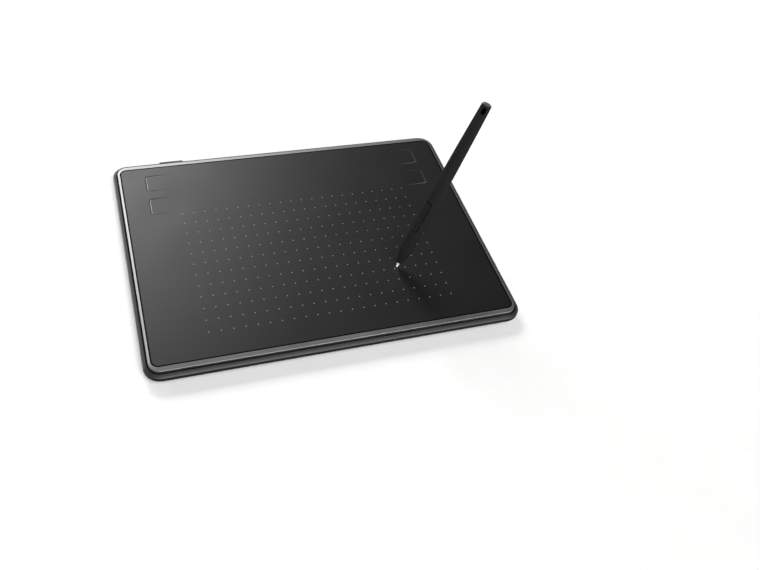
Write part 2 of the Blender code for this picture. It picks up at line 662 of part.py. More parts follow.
def make_pen_barrel(pen):
    """Barrel that draws in towards the tail, with the side button's window and the nib-pulling slot."""
    material = make_material("pen_barrel_plastic", (0.018, 0.018, 0.019), 0.45)
    outside = stations(PEN_BARREL_START, PEN_BARREL_END, BARREL_STEPS)
    profile = [(barrel_radius(z), z) for z in outside]
    profile += [(bore_radius(z), z) for z in reversed(outside[::2])]
    barrel = add_object("pen_barrel", turned(profile, closed=True), material, pen)
    cuts = loft(bmesh.new(), rocker_rings(GAP, -PEN_WALL - CUT_THROUGH, CUT_THROUGH))
    loft(cuts, pull_slot_rings())
    combine(barrel, cuts, "DIFFERENCE", pen)


def bore_radius(station):
    return min(PEN_BORE_RADIUS, barrel_radius(station) - PEN_WALL)


def pull_slot_rings():
    """Cutter for the nib-pulling slot, from inside the bore out past the barrel."""
    turn = math.radians(PULL_SLOT_TURN)
    out = Vector((math.cos(turn), math.sin(turn), 0))
    across = Vector((-math.sin(turn), math.cos(turn), 0))
    middle = (PULL_SLOT_START + PULL_SLOT_END) / 2
    outline = rounded_ring((PULL_SLOT_WIDTH / 2, PULL_SLOT_LENGTH / 2), PULL_SLOT_CORNER, 0)
    rings = []
    for depth in (bore_radius(middle) / 2, barrel_radius(middle) + CUT_THROUGH):
        rings.append([out * depth + across * p.x + Vector((0, 0, middle + p.y)) for p in outline])
    return rings


def rocker_rings(grow, inner, outer):
    """Sections of the side button across the pen, between two offsets from the barrel's surface."""
    start = ROCKER_START - grow
    length = ROCKER_LENGTH + 2 * grow
    half = ROCKER_WIDTH / 2 + grow
    turns = [math.pi / 2 * i / ROCKER_END_STEPS for i in range(ROCKER_END_STEPS + 1)]
    corner = ROCKER_CORNER + grow
    flat = half - corner
    rounding = [(corner * (1 - math.cos(turn)), flat + corner * math.sin(turn)) for turn in turns]
    sections = [(start + along, width) for along, width in rounding]
    sections += [(start + length - along, width) for along, width in reversed(rounding)]
    return [rocker_ring(station, width, inner, outer) for station, width in sections]


def rocker_ring(station, half_width, inner, outer):
    radius = barrel_radius(station)
    spread = math.asin(min(half_width / radius, 1))
    turns = stations(-spread, spread, ROCKER_ARC_STEPS)
    arc = [(radius + outer, turn) for turn in turns] + [(radius + inner, turn) for turn in reversed(turns)]
    return [Vector((r * math.cos(turn), r * math.sin(turn), station)) for r, turn in arc]


def make_pen_rocker(pen):
    """Two-way side button: a pad that follows the barrel, with a pip over each switch."""
    material = make_material("pen_rocker_plastic", (0.024, 0.024, 0.025), 0.38)
    axis = (ROCKER_AXIS_RADIUS, 0, ROCKER_MIDDLE)
    rings = rocker_rings(0, ROCKER_PROUD - ROCKER_THICKNESS, ROCKER_PROUD)
    rocker = add_object("pen_rocker", loft(bmesh.new(), rings), material, pen, axis)
    pips = bmesh.new()
    outline = circle(ROCKER_PIP_RADIUS, 0, SMALL_ROUND_STEPS)
    for station in rocker_pip_stations().values():
        ends = (pen_switch_top() + GAP + ROCKER_TRAVEL, barrel_radius(station))
        loft(pips, [[Vector((x, p.x, station + p.y)) for p in outline] for x in ends])
    combine(rocker, pips, "UNION", pen, axis)


def rocker_pip_stations():
    return {
        "front": ROCKER_START + ROCKER_PIP_FROM_END,
        "back": ROCKER_START + ROCKER_LENGTH - ROCKER_PIP_FROM_END,
    }


def pen_switch_top():
    return PEN_BOARD_THICKNESS / 2 + GAP + PEN_SWITCH_HEIGHT + PEN_SWITCH_BUTTON


def make_pen_tail(pen):
    """Domed end with a short plug in the barrel."""
    material = make_material("pen_tail_plastic", (0.022, 0.022, 0.023), 0.35)
    plug = bore_radius(PEN_BARREL_END) - GAP
    radius = barrel_radius(PEN_DOME_START)
    profile = [(plug, PEN_BARREL_END - PEN_PLUG_LENGTH), (plug, PEN_DOME_START)]
    for step in range(DOME_STEPS):
        turn = math.pi / 2 * step / DOME_STEPS
        along = PEN_DOME_LENGTH * math.sin(turn) ** PEN_DOME_POWER
        profile.append((radius * math.cos(turn) ** PEN_DOME_POWER, PEN_DOME_START + along))
    profile.append((PEN_DOME_FLAT, PEN_LENGTH))
    add_object("pen_tail", turned(profile), material, pen)


def make_pen_inside(pen):
    """Nib, its holder and the pieces that sense it: ferrite, winding, force sensor, board and switches."""
    white = make_material("nib_white", (0.80, 0.80, 0.78), 0.4)
    grey = make_material("ferrite_grey", (0.06, 0.06, 0.065), 0.6)
    copper = make_material("coil_copper", (0.55, 0.22, 0.09), 0.35, 1.0)
    black = make_material("holder_black", (0.03, 0.03, 0.03), 0.5)
    steel = make_material("sensor_steel", (0.55, 0.55, 0.55), 0.35, 1.0)
    green = make_material("pen_board_green", (0.02, 0.10, 0.05), 0.5)
    add_object("pen_nib", turned(nib_profile(), SMALL_ROUND_STEPS), white, pen)
    ferrite_end = FERRITE_START + FERRITE_LENGTH
    add_object("pen_ferrite", sleeve(NIB_BORE_RADIUS, FERRITE_WALL, FERRITE_START, ferrite_end), grey, pen)
    coil = sleeve(COIL_BORE_RADIUS, COIL_WALL, FERRITE_START + COIL_MARGIN, ferrite_end - COIL_MARGIN)
    add_object("pen_coil", coil, copper, pen)
    holder = rod(bmesh.new(), (0, 0), HOLDER_RADIUS, HOLDER_START, HOLDER_START + HOLDER_LENGTH)
    add_object("pen_nib_holder", holder, black, pen)
    sensor = rod(bmesh.new(), (0, 0), SENSOR_RADIUS, SENSOR_START, SENSOR_START + SENSOR_LENGTH)
    add_object("pen_force_sensor", sensor, steel, pen)
    half = Vector((PEN_BOARD_THICKNESS, PEN_BOARD_WIDTH)) / 2
    board = block(bmesh.new(), -half, half, PEN_BOARD_START, PEN_BOARD_START + PEN_BOARD_LENGTH)
    add_object("pen_board", board, green, pen)
    make_pen_switches(pen)


def nib_profile():
    """Rounded point, short taper and straight shank."""
    point = [(PEN_NIB_POINT - across, PEN_NIB_POINT - up) for across, up in quarter_round(PEN_NIB_POINT)]
    point[-1] = (PEN_NIB_POINT_FLAT, 0)
    return point[::-1] + [(PEN_NIB_RADIUS, PEN_NIB_TAPER), (PEN_NIB_RADIUS, PEN_NIB_LENGTH)]


def sleeve(bore, wall, start, end):
    profile = [(bore, start), (bore + wall, start), (bore + wall, end), (bore, end)]
    return turned(profile, SMALL_ROUND_STEPS, closed=True)


def make_pen_switches(pen):
    """Two small switches on the pen's board, below the ends of the side button."""
    material = make_material("pen_switch_steel", (0.6, 0.6, 0.6), 0.35, 1.0)
    half = (PEN_SWITCH_WIDTH / 2, PEN_SWITCH_LENGTH / 2)
    low = PEN_BOARD_THICKNESS / 2 + GAP
    high = low + PEN_SWITCH_HEIGHT
    for name, station in rocker_pip_stations().items():
        rings = [rounded_ring(half, PEN_SWITCH_CORNER, z) for z in (low, high)]
        rings += [circle(PEN_SWITCH_BUTTON_RADIUS, z, len(rings[0])) for z in (high, pen_switch_top())]
        turned_out = [[Vector((p.z, p.x, station + p.y)) for p in ring] for ring in rings]
        add_object(f"pen_switch_{name}", loft(bmesh.new(), turned_out), material, pen)


def make_pen():
    """Pen standing on its nib, modelled along Z from the nib's point and then leaned over."""
    roll = Euler((0, 0, math.radians(PEN_ROLL))).to_matrix()
    tilt = Euler((0, math.radians(PEN_TILT), 0)).to_matrix()
    heading = Euler((0, 0, math.radians(PEN_HEADING))).to_matrix()
    rotation = (heading @ tilt @ roll).to_euler()
    pen = add_empty("pen_axis", (PEN_POINT_X, PEN_POINT_Y, PANEL_TOP + GAP), rotation)
    make_pen_nose(pen)
    make_pen_barrel(pen)
    make_pen_tail(pen)
    make_pen_rocker(pen)
    make_pen_inside(pen)


def main():
    clear_scene()
    make_bottom_cover()
    make_top_cover()
    make_drawing_panel()
    make_keys()
    make_feet()
    make_case_screws()
    make_boards()
    make_switches()
    make_inlet()
    make_pen()


main()
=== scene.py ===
"""Looks of the pen drawing tablet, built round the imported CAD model.

Units are metres, in the CAD model's own frame: +X to the writer's right, +Y away, +Z up.
The pieces that show are made here, with finer rounding, narrower key slots and tighter case
corners than the solids. Pieces inside the case and the pen keep their solids and get materials.
"""

import json
import math

import bmesh
import bpy
from mathutils import Euler, Matrix, Vector

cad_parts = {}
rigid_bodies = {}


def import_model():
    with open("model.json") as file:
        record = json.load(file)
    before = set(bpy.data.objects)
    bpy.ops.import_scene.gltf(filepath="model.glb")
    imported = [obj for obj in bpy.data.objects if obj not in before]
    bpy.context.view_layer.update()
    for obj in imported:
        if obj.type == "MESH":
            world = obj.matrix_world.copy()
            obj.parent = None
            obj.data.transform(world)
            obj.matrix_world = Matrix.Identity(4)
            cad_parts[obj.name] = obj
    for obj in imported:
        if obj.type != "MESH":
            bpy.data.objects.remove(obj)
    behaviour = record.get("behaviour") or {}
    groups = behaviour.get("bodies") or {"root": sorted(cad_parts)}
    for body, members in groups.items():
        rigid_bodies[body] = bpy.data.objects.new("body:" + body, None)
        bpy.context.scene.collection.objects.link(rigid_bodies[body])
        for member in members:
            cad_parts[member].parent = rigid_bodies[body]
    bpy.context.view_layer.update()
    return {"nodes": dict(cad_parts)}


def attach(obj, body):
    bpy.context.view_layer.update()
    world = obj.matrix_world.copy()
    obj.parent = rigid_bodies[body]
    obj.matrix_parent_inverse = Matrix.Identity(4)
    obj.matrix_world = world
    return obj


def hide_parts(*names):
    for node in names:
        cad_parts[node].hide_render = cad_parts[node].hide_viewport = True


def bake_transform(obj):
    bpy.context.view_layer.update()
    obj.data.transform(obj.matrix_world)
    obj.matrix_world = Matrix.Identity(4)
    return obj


for old in list(bpy.data.objects):
    bpy.data.objects.remove(old, do_unlink=True)

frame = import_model()

# Case sizes, as pairs of half width and half depth, and heights
PANEL_HALF = Vector((0.08905, 0.0640))
RIM_HALF = Vector((0.0905, 0.0667))
LIP_HALF = Vector((0.0913, 0.0675))
TRAY_HALF = Vector((0.0929, 0.0694))
SKIRT_HALF = Vector((0.0894, 0.0656))
CAVITY_HALF = Vector((0.0892, 0.0654))
PANEL_CORNER = 0.0033
PANEL_JOINT = 0.0006
TRAY_BOTTOM = 0.0006
FLOOR_TOP = 0.0018
WALL_BOTTOM = 0.0035
WALL_TOP = 0.0054
LEDGE = 0.0051
SKIRT_BOTTOM = 0.0054
DECK_BOTTOM = 0.0059
CROWN = 0.0064
DECK_TOP = 0.0067
PANEL_BOTTOM = 0.0070
PANEL_TOP = 0.0078
RIM_SLOPE = 0.125           # fall of the rim towards its outer edge
RIM_EDGE = 0.0002
UNDERSIDE_INSET = 0.0030
UNDERSIDE_EDGE = 0.0007
EDGE_BREAK = 0.0001         # tiny rounding of moulded edges
GAP = 0.0003                # clearance of a piece in its recess or window
CUT_PAST = 0.001            # how far a cutting shape runs on past a face
SHOULDER_HANDLES = ((0.0, 0.0), (0.0, 0.35), (0.25, 0.55), (1.0, 1.0))

# Keys
KEY_OUTER = 0.0766
KEY_HALF = 0.0056
KEY_CORNER = 0.0016
KEY_SLOT = 0.00022
KEY_EDGE = 0.00030          # rounding of the key's side of the slot
KEY_EDGE_TURNS = (0, 30, 60, 90)
WINDOW_EDGE = 0.00012       # rounding of the panel's side of the slot
WINDOW_EDGE_TURNS = (0, 30, 60, 85)
KEY_RUN_OUT = 0.00001       # what is left of the rounding beside the hinge
KEY_ROOT = 0.0617           # inner edge of the key's sheet, flush with the panel
KEY_SLOT_START = 0.0626
KEY_SHELF = 0.0650
KEY_STEM = 0.0726
KEY_STEM_RADIUS = 0.0011
STEM_BOTTOM = 0.0062
KEY_FLAT = 0.99             # least upward share of the normal on a key's flat top
KEY_HIGHLIGHT_SPAN = (0.0752, 0.0764)     # where the painted highlight on the cut edge starts, and where it is full
KEY_ROWS = {"back": 0.0520, "front": 0.0346}
SIDES = {"left": -1, "right": 1}

# Printed dots on the panel
DOT_PITCH = (0.005806, 0.0070)
DOT_COUNT = (22, 12)
DOT_CENTRE = (-0.00045, -0.0115)
DOT_RADIUS = 0.00030
DOT_BLUR = 0.00003

# Underside
CORNERS = {"front_left": (-1, -1), "front_right": (1, -1), "back_left": (-1, 1), "back_right": (1, 1)}
FOOT_PLACE = (0.07505, 0.0500)
FOOT_RADIUS = 0.0050
FOOT_EDGE = 0.0003
FOOT_TOP = 0.0008
FOOT_RECESS = 0.0005
SCREW_PLACE = (0.08285, 0.0578)
SCREW_HEAD_RADIUS = 0.0018
SCREW_HEAD = (0.0009, 0.0016)
SCREW_CHAMFER = (0.00025, 0.00015)
SCREW_RADIUS = 0.0008
SCREW_END = 0.0054
CROSS_HALF = (0.0011, 0.00022)
CROSS_DEPTH = 0.0005
CROSS_PAST = 0.0002         # how far the cutting shape starts outside the head
CROSS_TAPER = 0.7           # share of its width that the recess keeps at its floor

# Cable inlet
INLET_X = -0.0611
INLET_MIDDLE = 0.0034
INLET_HALF = (0.00375, 0.0012)
INLET_CUT = 0.0007
HOOD_HALF = (0.00675, 0.00235)
HOOD_MIDDLE = 0.00365
HOOD_FACE = 0.0701
HOOD_CORNER = 0.0012
HOOD_EDGE = 0.0003

# Pen, along its axis from the nib's point
PEN_LENGTH = 0.0970
PEN_GRIP_RADIUS = 0.00327
PEN_BORE_RADIUS = 0.00255
PEN_WALL = 0.00072
PEN_DRAW_IN = 0.00088
PEN_TAPER_START = 0.035
NOSE_START = 0.0033
NOSE_FULL = 0.0200          # where the nose reaches the grip's radius
NOSE_END = 0.0202
NOSE_TIP_RADIUS = 0.0015
CHAMBER_START = 0.0082
CHAMBER_RADIUS = 0.0020
SPIGOT_RADIUS = 0.00225
SPIGOT_END = 0.0220
NIB_BORE = 0.0009
NIB_POINT = 0.0004          # rounding of the point
NIB_TIP_RADIUS = 0.00006
NIB_RADIUS = 0.0006
NIB_CONE_END = 0.0014
NIB_END = 0.0195
BARREL_START = 0.0203
BARREL_END = 0.0955
PLUG_START = 0.0950
DOME_START = 0.0956
DOME_POWER = 0.8
DOME_STEPS = 20
DOME_TIP_RADIUS = 0.00008
TAIL_HIGHLIGHT_NORMAL = 0.6            # least share of the normal along the pen on the tail's end, which carries a painted highlight in a paler grey
BUTTON_START = 0.0247
BUTTON_LENGTH = 0.0168
BUTTON_HALF = 0.00165
BUTTON_CORNER = 0.0007
BUTTON_PROUD = 0.0003
BUTTON_THICKNESS = 0.0008
BUTTON_EDGE = 0.00008
BUTTON_WINDOW_DEPTH = 0.0016
SLOT_HALF = (0.0009, 0.0016)
SLOT_CORNER = 0.00055
SLOT_REACH = (0.0008, 0.0035)   # from the pen's axis to the two ends of the cut
SLOT_MIDDLE = 0.0936
SLOT_TURN = math.radians(31.0)
PEN_POINT = (0.0384, -0.0284, 0.0081)
PEN_HEADING = math.radians(22.6)
PEN_LEAN = math.radians(20.7)
PEN_ROLL = math.radians(180.0)
PEN_PLACE = Matrix.Translation(PEN_POINT) @ (
    Euler((0, 0, PEN_HEADING)).to_matrix()
    @ Euler((0, PEN_LEAN, 0)).to_matrix()
    @ Euler((0, 0, PEN_ROLL)).to_matrix()
).to_4x4()

# Shading of meshes
SMOOTH_ANGLE = math.radians(32.0)   # sharper edges stay sharp
BREAK_ANGLE = 0.6                   # in radians, sharper edges are rounded by break_edges

# Colours and grain
NOISE_DETAIL = 3.0
FINE_ROUGHNESS = 0.6
CLOUD_ROUGHNESS = 0.5
CLOUD_SCALE = 60.0
GRAIN_DEPTH = 0.00002
FINE_SHARE = 0.6            # part of the fine grain in a colour, beside that of the broad clouds
CLOUD_SHARE = 0.4
FILM_DARK = (0.0020, 0.0020, 0.0021)
FILM_LIGHT = (0.0036, 0.0036, 0.0037)
FILM_GRAIN = 3500.0
FILM_CLOUD = 40.0
FILM_ROUGHNESS = (0.415, 0.455)
FILM_SPECULAR = 0.5
FILM_BUMP = 0.25
FILM_TOOTH = 0.00001
DOT_GREY = (0.21, 0.21, 0.21)
EDGE_GREY = (0.045, 0.045, 0.0455)
# Pale tones of a key's cut edge at its outer end: a painted highlight
EDGE_HIGHLIGHT_DARK = (0.31, 0.31, 0.313)
EDGE_HIGHLIGHT_LIGHT = (0.37, 0.37, 0.373)
EDGE_METAL = 0.85
EDGE_GRAIN = 3000.0
EDGE_ROUGHNESS = 0.45
EDGE_BUMP = 0.05

# Camera, solved from the dot grid for an image of 760 by 570 pixels
IMAGE_WIDTH = 760
FOCAL_PIXELS = 795.04
CENTRE_SHIFT = (34.5, -22.5)    # in pixels
SENSOR_WIDTH = 36.0             # in millimetres, as the lens is
CLIP_START = 0.01
CAMERA_PLACE = (-0.0983, -0.2655, 0.3098)
CAMERA_RIGHT = Vector((0.95149, -0.28185, 0.12337))
CAMERA_DOWN = Vector((-0.1357, -0.74432, -0.65389))
CAMERA_FORWARD = Vector((0.27613, 0.60543, -0.74647))

# Floor and lights
FLOOR_HALF = 4.0
FLOOR_DROP = 0.0001         # keeps the floor just below the feet
HORIZON_LIGHT = 0.92
CEILING_LIGHT = 0.04
HORIZON_FADE = (0.05, 0.5)  # upward share of the direction where one turns to the other
RIGHT_SHARE = 0.25          # of that light, on the right above the horizon
RIGHT_FADE = (0.2, 0.75)    # rightward share of the direction where that darkening sets in
RIGHT_RISE = (0.08, 0.22)   # and the upward share
SUN_STRENGTH = 3.3
SUN_SPREAD = math.radians(50)
SUN_HEADING = Vector((-0.15, 0.62, -0.77))
SOFTBOX_PLACE = (-0.25, 1.2, 0.94)
SOFTBOX_SIZE = (0.8, 0.5)
SOFTBOX_POWER = 14.5
FILL_PLACE = (-0.95, 0.85, 0.15)
FILL_SIZE = (0.6, 0.2)
FILL_POWER = 6.0


# Meshes

def spread(start, end, count):
    """Numbers from start to end in equal steps."""
    return [start + (end - start) * i / count for i in range(count + 1)]


def skin(rings, shape=None, closed=False):
    """Skin rings of equally many points, with flat ends unless the last ring meets the first."""
    if shape is None:
        shape = bmesh.new()
    loops = [[shape.verts.new(point) for point in ring] for ring in rings]
    pairs = list(zip(loops, loops[1:]))
    faces = []
    if closed:
        pairs.append((loops[-1], loops[0]))
    else:
        faces = [shape.faces.new(reversed(loops[0])), shape.faces.new(loops[-1])]
    for low, high in pairs:
        for i in range(len(low)):
            faces.append(shape.faces.new((low[i - 1], low[i], high[i], high[i - 1])))
    volume = 0.0
    for face in faces:
        first, *rest = [vert.co for vert in face.verts]
        volume += sum(first.dot(a.cross(b)) for a, b in zip(rest, rest[1:]))
    if volume < 0:
        bmesh.ops.reverse_faces(shape, faces=faces)
    return shape


def circle(radius, height, steps=64, centre=(0, 0)):
    """Level ring of points on a circle."""
    turns = [2 * math.pi * i / steps for i in range(steps)]
    middle = Vector((centre[0], centre[1], height))
    return [middle + radius * Vector((math.cos(turn), math.sin(turn), 0)) for turn in turns]


def post(radius, low, high, centre, steps):
    """Rings of an upright round post."""
    return [circle(radius, height, steps, centre) for height in (low, high)]


def turned(profile, steps=64, closed=False):
    """Solid of revolution about Z from (radius, height) pairs."""
    return skin([circle(radius, height, steps) for radius, height in profile], closed=closed)


def rounded_ring(half, radius, height, centre=(0, 0), steps=12):
    """Level ring of points on a rectangle with rounded corners."""
    points = []
    for quarter, (sx, sy) in enumerate([(1, 1), (-1, 1), (-1, -1), (1, -1)]):
        for step in range(steps + 1):
            turn = math.pi / 2 * (quarter + step / steps)
            x = centre[0] + sx * (half[0] - radius) + radius * math.cos(turn)
            y = centre[1] + sy * (half[1] - radius) + radius * math.sin(turn)
            points.append(Vector((x, y, height)))
    return points


def case_ring(half, height):
    """Ring of the case's plan, with corners about concentric with the panel's."""
    grown = half - PANEL_HALF
    return rounded_ring(half, PANEL_CORNER + (grown.x + grown.y) / 2, height)


def inset(half, amount):
    """Half width and half depth, both less by the same amount."""
    return half - Vector((amount, amount))


def quarter_round(radius, steps=4):
    """Steps across and up of a rounded edge, from its side to its top."""
    turns = [math.pi / 2 * i / steps for i in range(steps + 1)]
    return [(radius * (1 - math.cos(turn)), radius * math.sin(turn)) for turn in turns]


def smooth(mesh):
    """Shade a mesh smoothly up to its sharp edges."""
    mesh.shade_smooth()
    mesh.set_sharp_from_angle(angle=SMOOTH_ANGLE)


def add_object(name, data):
    """Object in the scene for a mesh, camera or light."""
    made = bpy.data.objects.new(name, data)
    bpy.context.scene.collection.objects.link(made)
    return made


def piece(name, shape, material=None, place=None):
    """Object from a bmesh, smoothly shaded up to sharp edges."""
    mesh = bpy.data.meshes.new(name)
    shape.to_mesh(mesh)
    shape.free()
    smooth(mesh)
    if material:
        mesh.materials.append(material)
    made = add_object(name, mesh)
    if place:
        made.matrix_world = place
    return made


def carve(target, shape, operation="DIFFERENCE"):
    """Cut a bmesh out of a piece, or join it on, and keep the result as the piece's mesh."""
    tool = piece("carving_tool", shape, None, target.matrix_basis.copy())
    modifier = target.modifiers.new("carve", "BOOLEAN")
    modifier.operation = operation
    modifier.solver = "EXACT"
    modifier.object = tool
    bpy.context.view_layer.update()
    seen = target.evaluated_get(bpy.context.evaluated_depsgraph_get())
    mesh = bpy.data.meshes.new_from_object(seen)
    target.modifiers.remove(modifier)
    target.data = mesh
    bpy.data.objects.remove(tool)
    smooth(mesh)


def break_edges(target, amount):
    """Round the sharp edges of a piece."""
    shape = bmesh.new()
    shape.from_mesh(target.data)
    edges = [e for e in shape.edges if e.is_manifold and e.calc_face_angle() > BREAK_ANGLE]
    bmesh.ops.bevel(shape, geom=edges, offset=amount, segments=2, profile=0.5, affect="EDGES",
                    clamp_overlap=True)
    shape.to_mesh(target.data)
    shape.free()
    smooth(target.data)


def paint_faces(made, material, chosen):
    """Give a piece a second material on the faces that a test chooses."""
    made.data.materials.append(material)
    for face in made.data.polygons:
        face.material_index = int(chosen(face))


def keep_flats(made):
    """Weigh a piece's normals so that flats beside rounded edges look flat."""
    made.modifiers.new("normals", "WEIGHTED_NORMAL").keep_sharp = True


def settle(made, body, node):
    """Bake a finished piece's place into its mesh and ride it on its body instead of a CAD node."""
    made.data.transform(made.matrix_basis)
    made.matrix_basis = Matrix.Identity(4)
    keep_flats(made)
    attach(made, body)
    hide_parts(node)


# Materials

class Nodes:
    """A material's node tree, with short calls for adding and joining nodes."""

    def __init__(self, name):
        self.material = bpy.data.materials.new(name)
        self.material.use_nodes = True
        self.tree = self.material.node_tree
        self.shader = self.tree.nodes["Principled BSDF"]
        self.place = self.add("ShaderNodeTexCoord").outputs["Object"]

    def add(self, kind, **settings):
        node = self.tree.nodes.new(kind)
        for key, value in settings.items():
            setattr(node, key, value)
        return node

    def join(self, start, end):
        self.tree.links.new(start, end)

    def axes(self):
        """Sockets of the place on the piece along X, Y and Z."""
        split = self.add("ShaderNodeSeparateXYZ")
        self.join(self.place, split.inputs[0])
        return split.outputs

    def math(self, operation, first, second=None):
        """Arithmetic on sockets or numbers."""
        node = self.add("ShaderNodeMath", operation=operation)
        for socket, value in zip(node.inputs, (first, second)):
            if isinstance(value, (int, float)):
                socket.default_value = value
            elif value is not None:
                self.join(value, socket)
        return node.outputs[0]

    def noise(self, scale, roughness, stretch=None):
        """Noise over the piece, drawn out along some axes by a stretch."""
        node = self.add("ShaderNodeTexNoise")
        node.inputs["Scale"].default_value = scale
        node.inputs["Detail"].default_value = NOISE_DETAIL
        node.inputs["Roughness"].default_value = roughness
        start = self.place
        if stretch:
            mapping = self.add("ShaderNodeMapping")
            mapping.inputs["Scale"].default_value = stretch
            self.join(self.place, mapping.inputs["Vector"])
            start = mapping.outputs["Vector"]
        self.join(start, node.inputs["Vector"])
        return node.outputs["Fac"]

    def range(self, value, low, high, start=0.3, end=0.7):
        """Value from low to high as the given one goes from start to end, which suit noise."""
        node = self.add("ShaderNodeMapRange")
        for key, number in (("From Min", start), ("From Max", end), ("To Min", low), ("To Max", high)):
            node.inputs[key].default_value = number
        self.join(value, node.inputs["Value"])
        return node.outputs["Result"]

    def mix(self, factor, first, second):
        """Mixture of two colours, which are tuples or sockets."""
        node = self.add("ShaderNodeMix", data_type="RGBA")
        sockets = [s for s in node.inputs if s.type == "RGBA"]
        for socket, value in zip(sockets, (first, second)):
            if isinstance(value, tuple):
                socket.default_value = (*value, 1.0)
            else:
                self.join(value, socket)
        self.join(factor, node.inputs["Factor"])
        return next(s for s in node.outputs if s.type == "RGBA")

    def bump(self, height, strength, distance):
        node = self.add("ShaderNodeBump")
        node.inputs["Strength"].default_value = strength
        node.inputs["Distance"].default_value = distance
        self.join(height, node.inputs["Height"])
        self.join(node.outputs["Normal"], self.shader.inputs["Normal"])


def grained(name, dark, light, rough, grain=4000.0, strength=0.35, metallic=0.0, stretch=None,
            specular=0.5):
    """Moulded, painted or metal surface: fine grain, faint cloudy colour and uneven gloss."""
    nodes = Nodes(name)
    fine = nodes.noise(grain, FINE_ROUGHNESS, stretch)
    broad = nodes.noise(CLOUD_SCALE, CLOUD_ROUGHNESS)
    fine_part = nodes.math("MULTIPLY", fine, FINE_SHARE)
    broad_part = nodes.math("MULTIPLY", broad, CLOUD_SHARE)
    shade = nodes.range(nodes.math("ADD", fine_part, broad_part), 0.0, 1.0)
    nodes.join(nodes.mix(shade, dark, light), nodes.shader.inputs["Base Color"])
    nodes.join(nodes.range(broad, *rough), nodes.shader.inputs["Roughness"])
    nodes.shader.inputs["Metallic"].default_value = metallic
    nodes.shader.inputs["Specular IOR Level"].default_value = specular
    nodes.bump(fine, strength, GRAIN_DEPTH)
    return nodes.material


def dot_mask(nodes):
    """One on the printed dots and nought between and outside them."""
    axes = nodes.axes()
    squares = []
    inside = []
    for axis in range(2):
        first = DOT_CENTRE[axis] - DOT_PITCH[axis] * (DOT_COUNT[axis] - 1) / 2
        along = nodes.math("DIVIDE", nodes.math("SUBTRACT", axes[axis], first), DOT_PITCH[axis])
        nearest = nodes.math("ROUND", along)
        off = nodes.math("MULTIPLY", nodes.math("SUBTRACT", along, nearest), DOT_PITCH[axis])
        squares.append(nodes.math("MULTIPLY", off, off))
        inside.append(nodes.math("GREATER_THAN", nearest, -0.5))
        inside.append(nodes.math("LESS_THAN", nearest, DOT_COUNT[axis] - 0.5))
    away = nodes.math("SQRT", nodes.math("ADD", *squares))
    mask = nodes.range(away, 1.0, 0.0, DOT_RADIUS - DOT_BLUR, DOT_RADIUS + DOT_BLUR)
    for limit in inside:
        mask = nodes.math("MULTIPLY", mask, limit)
    return mask


def panel_film():
    """Matt drawing film with a fine tooth and a printed grid of dots."""
    nodes = Nodes("panel_film")
    fine = nodes.noise(FILM_GRAIN, FINE_ROUGHNESS)
    broad = nodes.noise(FILM_CLOUD, CLOUD_ROUGHNESS)
    ground = nodes.mix(nodes.range(fine, 0.0, 1.0), FILM_DARK, FILM_LIGHT)
    nodes.join(nodes.mix(dot_mask(nodes), ground, DOT_GREY), nodes.shader.inputs["Base Color"])
    nodes.join(nodes.range(broad, *FILM_ROUGHNESS), nodes.shader.inputs["Roughness"])
    nodes.shader.inputs["Specular IOR Level"].default_value = FILM_SPECULAR
    nodes.bump(fine, FILM_BUMP, FILM_TOOTH)
    return nodes.material


def cut_edge():
    """Cut edge of a key: a painted highlight, pale and metallic, at the key's outer end, and dark grey
    along its sides.
    """
    nodes = Nodes("key_edge_highlight")
    fine = nodes.noise(EDGE_GRAIN, FINE_ROUGHNESS)
    # the fade says where the painted highlight lies on the cut edge
    fade = nodes.range(nodes.math("ABSOLUTE", nodes.axes()[0]), 0.0, 1.0, *KEY_HIGHLIGHT_SPAN)
    highlight_tone = nodes.mix(nodes.range(fine, 0.0, 1.0), EDGE_HIGHLIGHT_DARK, EDGE_HIGHLIGHT_LIGHT)
    nodes.join(nodes.mix(fade, EDGE_GREY, highlight_tone), nodes.shader.inputs["Base Color"])
    nodes.join(nodes.math("MULTIPLY", fade, EDGE_METAL), nodes.shader.inputs["Metallic"])
    nodes.shader.inputs["Roughness"].default_value = EDGE_ROUGHNESS
    nodes.bump(fine, EDGE_BUMP, FILM_TOOTH)
    return nodes.material


film = panel_film()
key_edge_highlight = cut_edge()
rim_paint = grained("rim_paint", (0.235, 0.235, 0.24), (0.305, 0.305, 0.31), (0.44, 0.50),
                    grain=6000.0, strength=0.15, metallic=1.0)
tray_plastic = grained("tray_plastic", (0.013, 0.013, 0.0134), (0.019, 0.019, 0.0195), (0.40, 0.48),
                       grain=3000.0)
# Lower wall and underside: matt plastic, and darker than the shoulder as painted shade
tray_matt_shade = grained("tray_matt_shade", (0.005, 0.005, 0.0052), (0.009, 0.009, 0.0093), (0.65, 0.75),
                    grain=3000.0, specular=0.1)
# Black of the dark joints round the panel, also painted shade on the pen's recess walls
joint_black_and_shade = grained("joint_black_and_shade", (0.002, 0.002, 0.002), (0.004, 0.004, 0.004), (0.70, 0.80),
                      specular=0.05)
pen_plastic = grained("pen_plastic", (0.013, 0.013, 0.0132), (0.019, 0.019, 0.0193), (0.60, 0.68),
                      grain=3600.0, specular=0.01)
button_plastic = grained("button_plastic", (0.012, 0.012, 0.0122), (0.017, 0.017, 0.0173), (0.55, 0.63),
                         specular=0.03)
